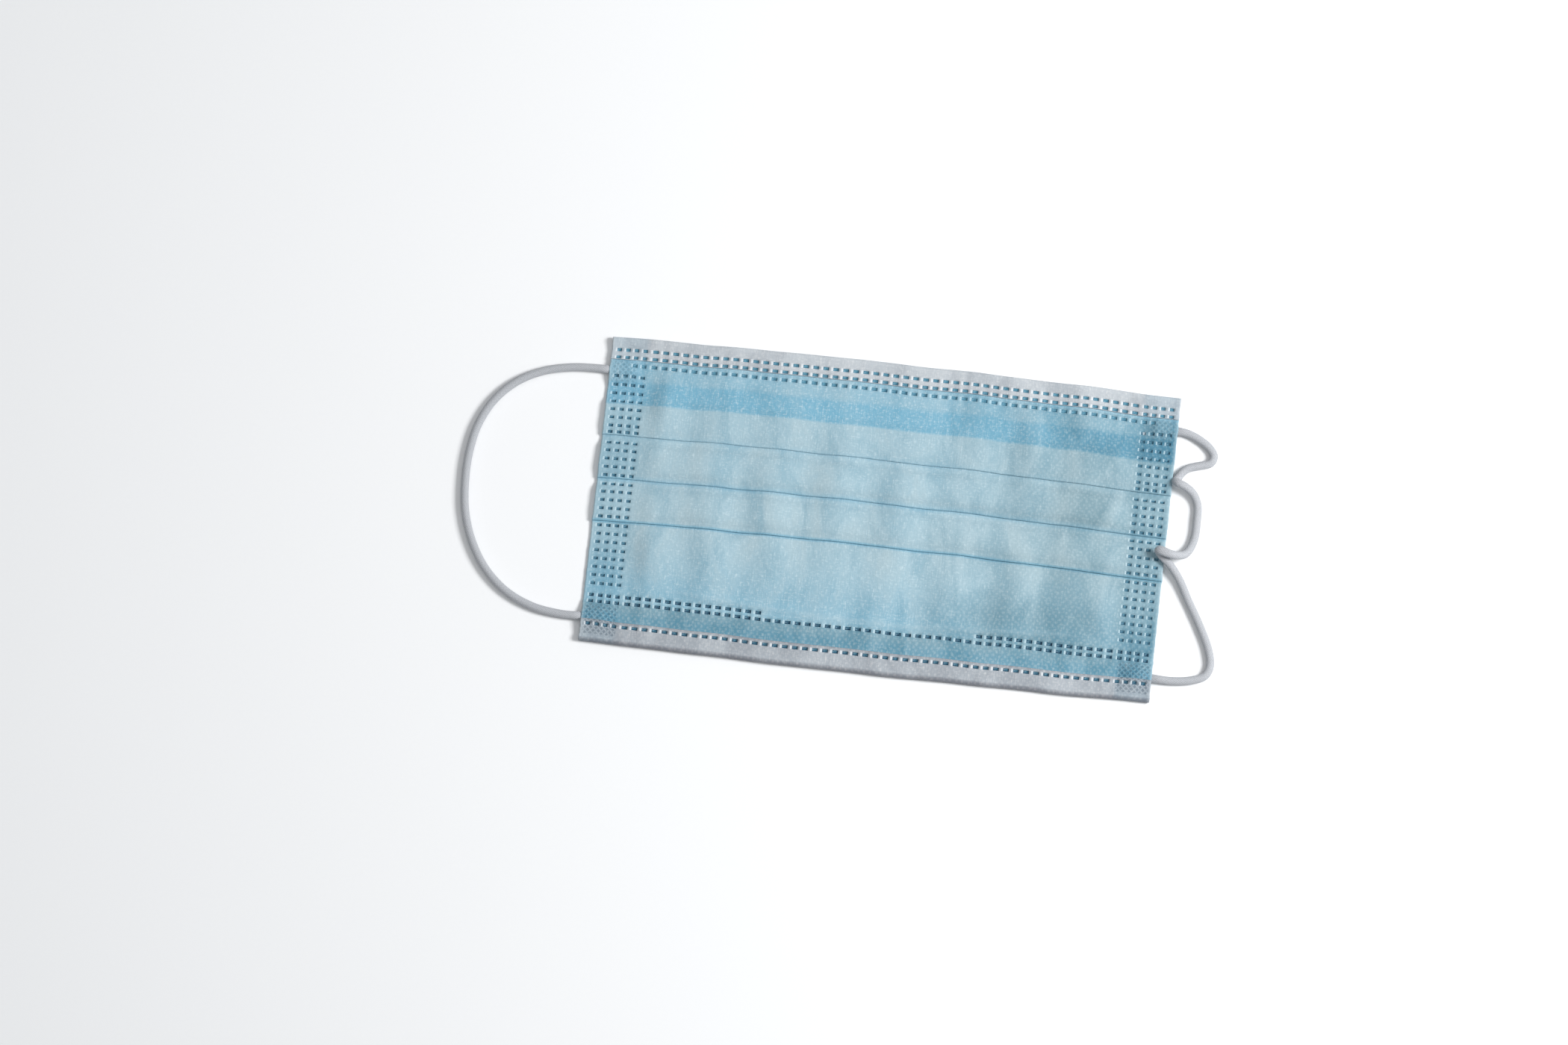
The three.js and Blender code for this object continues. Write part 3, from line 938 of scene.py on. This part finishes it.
def ear_loop(name, route, node):
    """A round cord along its route, its two ends pressed flat under the corners of the mask."""
    route = [place if len(place) == 3 else (*place, CORD_REST) for place in route]
    side = math.copysign(1.0, route[0][0])
    inner = side * (half("width") - millimetres("cord_weld"))
    radius = half("cord_diameter")
    ends = [
        [(inner, y, 0.6), (inner + side * 2.0, y, 0.65), (side * CORD_PRESSED_TO, y, 0.75)]
        for y in (CORD_Y_NOSE, CORD_Y_CHIN)
    ]
    line, length = smooth_route([*ends[0], *route, *reversed(ends[1])], 0.7)
    around = 20
    bm = bmesh.new()
    along = bm.loops.layers.uv.new("flat")
    bmesh.ops.create_grid(bm, x_segments=around, y_segments=len(line) - 1, size=0.5)
    step = length / (len(line) - 1)
    places = {
        v: (round((v.co.x + 0.5) * around), round((v.co.y + 0.5) * (len(line) - 1)))
        for v in bm.verts
    }
    rings = []
    up = Vector((0, 0, 1))
    for k, point in enumerate(line):
        ahead = line[min(k + 1, len(line) - 1)] - line[max(k - 1, 0)]
        ahead.normalize()
        up = (up - ahead * up.dot(ahead)).normalized()
        rings.append((point, up.copy(), ahead.cross(up)))
    for face in bm.faces:
        for loop in face.loops:
            i, k = places[loop.vert]
            loop[along].uv = (i / around * 2 * math.pi * radius * MM, k * step * MM)
    for v, (i, k) in places.items():
        point, upwards, across = rings[k]
        angle = 2 * math.pi * i / around
        offset = (across * math.cos(angle) + upwards * math.sin(angle)) * radius
        round_share = flattened_at(point.x)
        spread = mix(1.2, 1.0, round_share)
        offset = Vector((offset.x * spread, offset.y * spread, offset.z * round_share))
        v.co = (point + offset) * MM
        v.co.z = max(v.co.z, 0.0)
    bmesh.ops.remove_doubles(bm, verts=bm.verts, dist=0.001 * MM)
    rims = [e for e in bm.edges if e.is_boundary]
    bmesh.ops.holes_fill(bm, edges=rims, sides=0)
    bmesh.ops.recalc_face_normals(bm, faces=bm.faces)
    material = material_of("knitted nylon elastic", knitted_elastic)
    piece = finished(name, bm, [material], "elastic", node)


# Operators


class FACEMASK_OT_camera(bpy.types.Operator):
    """Add the camera, nearly straight above the mask"""

    bl_idname = "facemask.camera"
    bl_label = "Camera"

    def execute(self, context):
        elevation, azimuth = math.radians(CAMERA_ELEVATION), math.radians(CAMERA_AZIMUTH)
        backwards = Vector((
            math.sin(azimuth) * math.cos(elevation),
            -math.cos(azimuth) * math.cos(elevation),
            math.sin(elevation),
        ))
        data = bpy.data.cameras.new("camera")
        data.lens = CAMERA_LENS
        data.sensor_width = 36
        data.clip_start = 0.01
        camera = bpy.data.objects.new("camera", data)
        camera.location = Vector(CAMERA_TARGET) * MM + backwards * CAMERA_DISTANCE
        camera.rotation_euler = backwards.to_track_quat("Z", "Y").to_euler()
        context.scene.collection.objects.link(camera)
        context.scene.camera = camera
        return {"FINISHED"}


class FACEMASK_OT_ear_loops(bpy.types.Operator):
    """Make the two elastic ear loops with their welded ends"""

    bl_idname = "facemask.ear_loops"
    bl_label = "Ear Loops"

    def execute(self, context):
        ear_loop("ear_loop_right_cord", RIGHT_LOOP, "ear_loop_right")
        ear_loop("ear_loop_left_cord", LEFT_LOOP, "ear_loop_left")
        return {"FINISHED"}


class FACEMASK_OT_outer_cloth(bpy.types.Operator):
    """Fold the blue outer ply and weld it"""

    bl_idname = "facemask.outer_cloth"
    bl_label = "Outer Cloth"

    def execute(self, context):
        line = ply_line(0.0)
        dashes, dots = weld_columns()
        dash, dot = millimetres("dash_height"), millimetres("dot_height")
        welds = (
            (weld_boxes(line, UPPER_WELDS, dashes + dots, dash), NOSE_MILKY),
            (weld_boxes(line, LOWER_WELDS, dashes + dots, dash), LOWER_MILKY),
            (weld_boxes(line, seam_rows(), dots, dot), SEAM_MILKY),
        )
        cut = [flat for boxes, _ in welds for box in boxes for flat in box[2:]]
        turns = [flat for flat in line.turns() if min(abs(flat - c) for c in cut) > 0.25]

        def gap(flat):
            _, z, free = line.at(flat)
            straight = free == 0.0 and min(abs(z - TURNED), abs(z - LOW)) < 0.01
            return 2.4 if straight else 0.15

        flats = spaced(
            [0.0, line.flat[-1], *cut, *thinned(turns, gap)],
            lambda flat: 1.2 if line.at(flat)[2] > 0 else 2.6,
        )
        cloth = ClothGrid(column_lines(), flats)
        cloth.fold(line, painted_shade_at)
        for boxes, milky in welds:
            cloth.weld(boxes, milky)
        half_width, middle = half("width"), half("height")

        def highlight_and_pale_edge(x, flat):
            y, _, free = line.at(flat)
            # A pale rim at the cut side edges, and a painted highlight along the wrinkle's crest
            rim = smooth(abs(x), half_width - 0.55, half_width - 0.35)
            crest = 0.0
            if free > 0.5:
                off = abs(wrinkle_line(x) - (middle - y) - 0.3)
                crest = 0.3 * (1 - smooth(abs(x), *WRINKLE_ENDS)) * math.exp(-((off / 0.5) ** 2))
            return max(0.7 * rim, crest)

        cloth.add_highlight_and_pale_edge(highlight_and_pale_edge)
        finished_sheet(
            "outer_cloth", cloth, [blue_spunbond(), weld_film()], "outer_cloth",
            "pleated_panel", sizes().outer_ply,
        )
        return {"FINISHED"}


class FACEMASK_OT_inner_cloth(bpy.types.Operator):
    """Fold the white inner ply behind the outer one"""

    bl_idname = "facemask.inner_cloth"
    bl_label = "Inner Cloth"

    def execute(self, context):
        line = ply_line(millimetres("ply_gap"))
        columns = spaced([-half("width"), 0.0, half("width")], lambda x: 3.0)
        flats = spaced(
            [0.0, line.flat[-1], *thinned(line.turns(), lambda flat: 0.3)],
            lambda flat: 0.7 if line.at(flat)[2] > 0 else 2.6,
        )
        cloth = ClothGrid(columns, flats)
        cloth.fold(line, lambda x, down: 0.0)
        finished_sheet(
            "inner_cloth", cloth, [white_spunbond()], "white_cloth", "pleated_panel",
            sizes().inner_ply,
        )
        return {"FINISHED"}


class FACEMASK_OT_hems(bpy.types.Operator):
    """Fold the white hems over the nose and chin edges and weld them"""

    bl_idname = "facemask.hems"
    bl_label = "Hems"

    def execute(self, context):
        half_width = half("width")
        dashes, dots = weld_columns()
        for name, node, side, rows, milky in (
            ("nose_hem_cloth", "nose_hem", 1, NOSE_WELDS, NOSE_MILKY),
            ("chin_hem_cloth", "chin_hem", -1, CHIN_WELDS, CHIN_MILKY),
        ):
            line = hem_line(side)
            boxes = weld_boxes(line, rows, dashes + dots, millimetres("dash_height"))
            cut = [flat for box in boxes for flat in box[2:]]
            turns = [flat for flat in line.flat if min(abs(flat - c) for c in cut) > 0.3]
            flats = spaced([0.0, line.flat[-1], *cut, *turns[::2]], lambda flat: 0.9)
            cloth = ClothGrid(column_lines(), flats)
            cloth.fold(line, painted_shade_at)
            cloth.weld(boxes, milky)
            # A pale rim at the cut side edges
            cloth.add_highlight_and_pale_edge(lambda x, flat: 0.4 * smooth(abs(x), half_width - 0.55, half_width - 0.35))
            finished_sheet(
                name, cloth, [white_spunbond(), weld_film()], "white_cloth", node,
                sizes().outer_ply,
            )
        return {"FINISHED"}


class FACEMASK_OT_stage(bpy.types.Operator):
    """Add the pale floor and the soft studio light"""

    bl_idname = "facemask.stage"
    bl_label = "Floor and Light"

    def execute(self, context):
        scene = context.scene
        bm = bmesh.new()
        bmesh.ops.create_grid(bm, x_segments=12, y_segments=12, size=3.0)
        mesh = bpy.data.meshes.new("floor")
        bm.to_mesh(mesh)
        bm.free()
        mesh.materials.append(material_of("matt painted board", matt_floor))
        floor = bpy.data.objects.new("floor", mesh)
        scene.collection.objects.link(floor)
        for name, place, width, power in (
            ("key light", (0.72, 0.1, 0.78), 0.38, 10.9),
            ("fill light", (-0.7, 0.1, 0.9), 0.9, 0.8),
            ("top light", (0.0, 0.1, 1.6), 1.6, 4.2),
        ):
            data = bpy.data.lights.new(name, "AREA")
            data.size = width
            data.energy = power
            light = bpy.data.objects.new(name, data)
            light.location = place
            light.rotation_euler = Vector(place).to_track_quat("Z", "Y").to_euler()
            scene.collection.objects.link(light)
        world = bpy.data.worlds.new("pale room")
        world.use_nodes = True
        world.node_tree.nodes.clear()
        glow = add_node(
            world.node_tree, "ShaderNodeBackground", {},
            {"Color": (*linear("#eef1f4"), 1.0), "Strength": 0.32},
        )
        add_node(
            world.node_tree, "ShaderNodeOutputWorld", {}, {"Surface": glow.outputs["Background"]}
        )
        scene.world = world
        scene.view_settings.view_transform = "Standard"
        return {"FINISHED"}


class FACEMASK_PT_pieces(bpy.types.Panel):
    """The mask's pieces, sizes and colours"""

    bl_idname = "FACEMASK_PT_pieces"
    bl_label = "Face Mask"
    bl_space_type = "VIEW_3D"
    bl_region_type = "UI"
    bl_category = "Face Mask"

    def draw(self, context):
        layout = self.layout
        for operator in OPERATORS:
            layout.operator(operator.bl_idname)
        for group in (context.scene.mask_sizes, context.scene.mask_colours):
            column = layout.column()
            for name in type(group).__annotations__:
                column.prop(group, name)


OPERATORS = (
    FACEMASK_OT_camera,
    FACEMASK_OT_ear_loops,
    FACEMASK_OT_outer_cloth,
    FACEMASK_OT_inner_cloth,
    FACEMASK_OT_hems,
    FACEMASK_OT_stage,
)
CLASSES = (MaskSizes, MaskColours, *OPERATORS, FACEMASK_PT_pieces)


def register():
    for item in CLASSES:
        bpy.utils.register_class(item)
    bpy.types.Scene.mask_sizes = PointerProperty(type=MaskSizes)
    bpy.types.Scene.mask_colours = PointerProperty(type=MaskColours)


def unregister():
    del bpy.types.Scene.mask_colours
    del bpy.types.Scene.mask_sizes
    for item in reversed(CLASSES):
        bpy.utils.unregister_class(item)


def main():
    register()
    bpy.ops.facemask.camera()
    bpy.ops.facemask.ear_loops()
    bpy.ops.facemask.outer_cloth()
    bpy.ops.facemask.inner_cloth()
    bpy.ops.facemask.hems()
    bpy.ops.facemask.stage()


if __name__ == "__main__":
    main()
